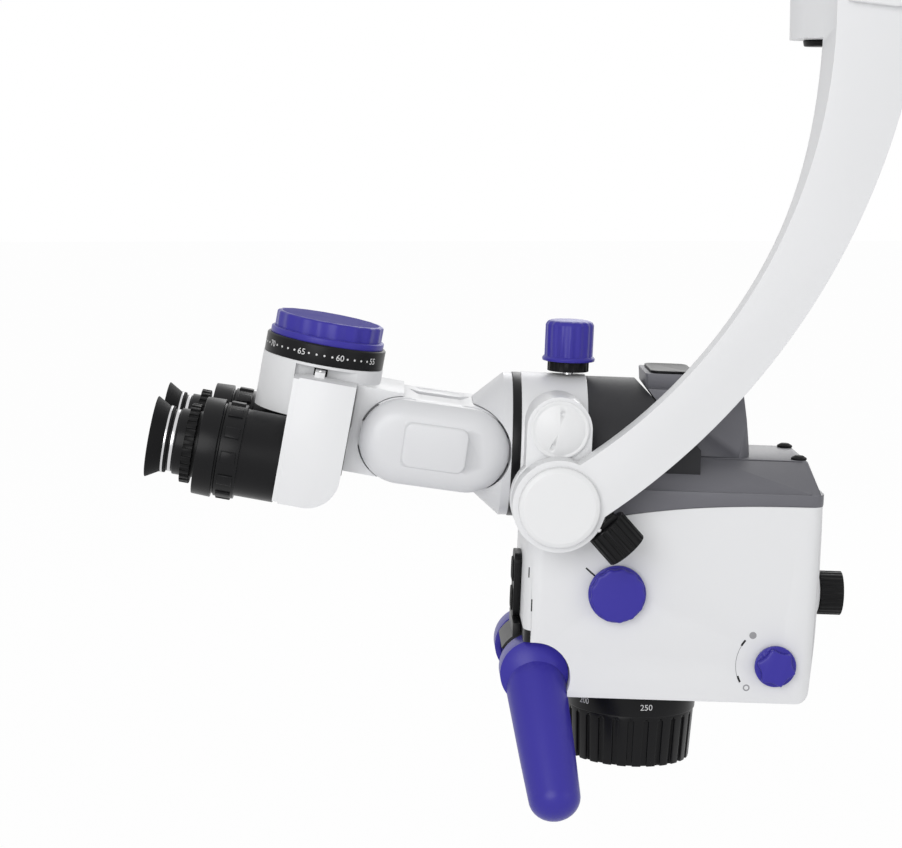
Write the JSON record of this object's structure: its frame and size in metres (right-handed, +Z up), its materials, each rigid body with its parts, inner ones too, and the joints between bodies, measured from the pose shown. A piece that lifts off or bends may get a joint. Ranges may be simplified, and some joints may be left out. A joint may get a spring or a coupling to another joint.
{
  "type": "dental microscope",
  "caption": "Stereo dental microscope head on a curved swing arm, with an inclinable twin eyepiece tube, blue control knobs, two hand grips and a focus ring under the body.",
  "frame": {"origin": "centre of the mounting face on top of the swivel spindle, on the swivel axis", "axes": "+Z up along the swivel axis; -X the way the eyepieces point; -Y the side that the swing arm is on"},
  "size_m": [0.3968, 0.1834, 0.4643],
  "materials": {
    "painted_white": "satin white powder coat",
    "white_plastic": "satin",
    "painted_grey": "satin pale grey coat",
    "cover_grey": "fine texture",
    "cover_dark": "fine texture",
    "black_metal": "black anodised",
    "black_plastic": "matt",
    "blue_plastic": "satin",
    "black_rubber": "matt",
    "steel": "turned",
    "bronze": "turned",
    "aluminium": "milled",
    "lens_glass": "coated",
    "board_green": "solder resist"
  },
  "bodies": {
    "suspension": {"suspension_spindle": "steel"},
    "arm": {"spindle_bearings": "steel", "swing_arm": "painted_white", "arm_top_cover": "white_plastic", "spindle_cap": "black_plastic", "pivot_cap": "white_plastic", "tilt_bushing": "bronze"},
    "clamp": {"clamp_knob": "black_plastic"},
    "head": {"tilt_axle": "steel", "body_shell": "painted_white", "base_plate": "black_metal", "chassis": "aluminium", "rear_cover": "cover_grey", "camera_tower": "cover_grey", "tower_cap": "black_plastic", "front_cover": "cover_dark", "neck_block": "painted_white", "arch_cap": "white_plastic", "port_ring": "black_metal", "cover_plugs": "black_plastic", "beam_splitter": "lens_glass", "camera_module": "black_metal", "lamp_module": "aluminium", "control_board": "board_green", "keypad_base": "black_plastic", "objective_tube": "black_metal", "front_lens": "lens_glass", "handle_bracket": "black_metal"},
    "changer_drum": {"magnification_drum": "black_metal", "drum_lenses": "lens_glass"},
    "near_changer": {"near_changer_shaft": "steel", "near_changer_knob": "blue_plastic"},
    "far_changer": {"far_changer_shaft": "steel", "far_changer_knob": "blue_plastic"},
    "filter": {"filter_wheel": "black_metal", "filter_knob": "black_plastic"},
    "brightness": {"brightness_knob": "blue_plastic"},
    "upper_button": {"upper_key": "black_rubber"},
    "lower_button": {"lower_key": "black_rubber"},
    "tube_lock": {"tube_lock_knob": "blue_plastic"},
    "focus": {"focus_ring": "black_metal"},
    "focus_cell": {"focus_lens": "aluminium"},
    "near_handle": {"near_grip": "blue_plastic"},
    "far_handle": {"far_grip": "blue_plastic"},
    "tube_base": {"tube_flange": "painted_grey"},
    "link": {"tube_link": "painted_grey", "link_cheeks": "painted_grey", "hinge_pins": "steel"},
    "eye_housing": {"eyepiece_housing": "painted_white", "guide_rods": "steel"},
    "dial": {"width_dial": "blue_plastic", "scale_ring": "black_metal"},
    "near_eye": {"near_carriage": "painted_white", "near_barrel": "black_metal"},
    "far_eye": {"far_carriage": "painted_white", "far_barrel": "black_metal"},
    "near_dioptre": {"near_dioptre_ring": "black_metal"},
    "far_dioptre": {"far_dioptre_ring": "black_metal"},
    "near_cup": {"near_eyecup": "black_rubber"},
    "far_cup": {"far_eyecup": "black_rubber"}
  },
  "joints": [
    {"name": "arm_swivel", "type": "hinge", "parent": "suspension", "child": "arm", "pos_m": [0, 0, -0.03], "axis": [0, 0, 1], "range_deg": [-150, 150]},
    {"name": "head_tilt", "type": "hinge", "parent": "arm", "child": "head", "pos_m": [-0.148, -0.07, -0.3], "axis": [0, 1, 0], "range_deg": [-40, 50]},
    {"name": "clamp_turn", "type": "hinge", "parent": "arm", "child": "clamp", "pos_m": [-0.1236, -0.0705, -0.3114], "axis": [0.66, 0, -0.7513], "range_deg": [-90, 90]},
    {"name": "changer_turn", "type": "hinge", "parent": "head", "child": "changer_drum", "pos_m": [-0.10044, 0, -0.35136], "axis": [0, 1, 0], "continuous": true},
    {"name": "near_changer_turn", "type": "hinge", "parent": "head", "child": "near_changer", "pos_m": [-0.11563, -0.05, -0.35078], "axis": [0, 1, 0], "continuous": true},
    {"name": "far_changer_turn", "type": "hinge", "parent": "head", "child": "far_changer", "pos_m": [-0.11563, 0.05, -0.35078], "axis": [0, 1, 0], "continuous": true},
    {"name": "filter_turn", "type": "hinge", "parent": "head", "child": "filter", "pos_m": [-0.01024, 0, -0.36093], "axis": [0.9993, 0, -0.0384], "continuous": true},
    {"name": "brightness_turn", "type": "hinge", "parent": "head", "child": "brightness", "pos_m": [-0.03207, -0.05, -0.38992], "axis": [0, 1, 0], "range_deg": [-135, 135]},
    {"name": "upper_button_press", "type": "slide", "parent": "head", "child": "upper_button", "axis": [0.9993, 0, -0.0384], "range_m": [0, 0.001], "stiffness_N_per_m": 500, "springref_m": -0.0006},
    {"name": "lower_button_press", "type": "slide", "parent": "head", "child": "lower_button", "axis": [0.9993, 0, -0.0384], "range_m": [0, 0.001], "stiffness_N_per_m": 500, "springref_m": -0.0006},
    {"name": "tube_lock_turn", "type": "hinge", "parent": "head", "child": "tube_lock", "pos_m": [-0.13802, 0, -0.23033], "axis": [0.0384, 0, 0.9993], "range_deg": [-90, 90]},
    {"name": "focus_turn", "type": "hinge", "parent": "head", "child": "focus", "pos_m": [-0.10353, 0, -0.4318], "axis": [0.0384, 0, 0.9993], "range_deg": [-100, 100]},
    {"name": "focus_cell_slide", "type": "slide", "parent": "head", "child": "focus_cell", "axis": [0.0384, 0, 0.9993], "range_m": [-0.004, 0.004]},
    {"name": "near_handle_turn", "type": "hinge", "parent": "head", "child": "near_handle", "pos_m": [-0.15818, -0.03, -0.39568], "axis": [0, 1, 0], "range_deg": [0, 60]},
    {"name": "far_handle_turn", "type": "hinge", "parent": "head", "child": "far_handle", "pos_m": [-0.15818, 0.03, -0.39568], "axis": [0, 1, 0], "range_deg": [0, 60]},
    {"name": "tube_rotate", "type": "hinge", "parent": "head", "child": "tube_base", "pos_m": [-0.1682, 0, -0.27871], "axis": [0.9993, 0, -0.0384], "range_deg": [-30, 30]},
    {"name": "tube_tilt", "type": "hinge", "parent": "tube_base", "child": "link", "pos_m": [-0.19368, 0, -0.27773], "axis": [0, 1, 0], "range_deg": [-25, 15]},
    {"name": "eyepiece_tilt", "type": "hinge", "parent": "link", "child": "eye_housing", "pos_m": [-0.22783, 0, -0.27281], "axis": [0, 1, 0], "range_deg": [-25, 20]},
    {"name": "width_turn", "type": "hinge", "parent": "eye_housing", "child": "dial", "pos_m": [-0.26794, 0, -0.22461], "axis": [0.184, 0, 0.9829], "range_deg": [-52.5, 97.5]},
    {"name": "near_eye_slide", "type": "slide", "parent": "eye_housing", "child": "near_eye", "axis": [0, -1, 0], "range_m": [-0.0035, 0.0065]},
    {"name": "far_eye_slide", "type": "slide", "parent": "eye_housing", "child": "far_eye", "axis": [0, 1, 0], "range_m": [-0.0035, 0.0065]},
    {"name": "near_dioptre_turn", "type": "hinge", "parent": "near_eye", "child": "near_dioptre", "pos_m": [-0.33834, -0.031, -0.27349], "axis": [0.9829, 0, -0.184], "range_deg": [-90, 90]},
    {"name": "near_cup_slide", "type": "slide", "parent": "near_eye", "child": "near_cup", "axis": [0.9829, 0, -0.184], "range_m": [0, 0.003]},
    {"name": "far_dioptre_turn", "type": "hinge", "parent": "far_eye", "child": "far_dioptre", "pos_m": [-0.33834, 0.031, -0.27349], "axis": [0.9829, 0, -0.184], "range_deg": [-90, 90]},
    {"name": "far_cup_slide", "type": "slide", "parent": "far_eye", "child": "far_cup", "axis": [0.9829, 0, -0.184], "range_m": [0, 0.003]}
  ],
  "couplings": [
    {"joint": "near_changer_turn", "follows": "changer_turn", "ratio": -1},
    {"joint": "far_changer_turn", "follows": "changer_turn", "ratio": -1},
    {"joint": "focus_cell_slide", "follows": "focus_turn", "m_per_rad": 0.0022918},
    {"joint": "near_eye_slide", "follows": "width_turn", "m_per_rad": 0.0038197},
    {"joint": "far_eye_slide", "follows": "width_turn", "m_per_rad": 0.0038197}
  ]
}
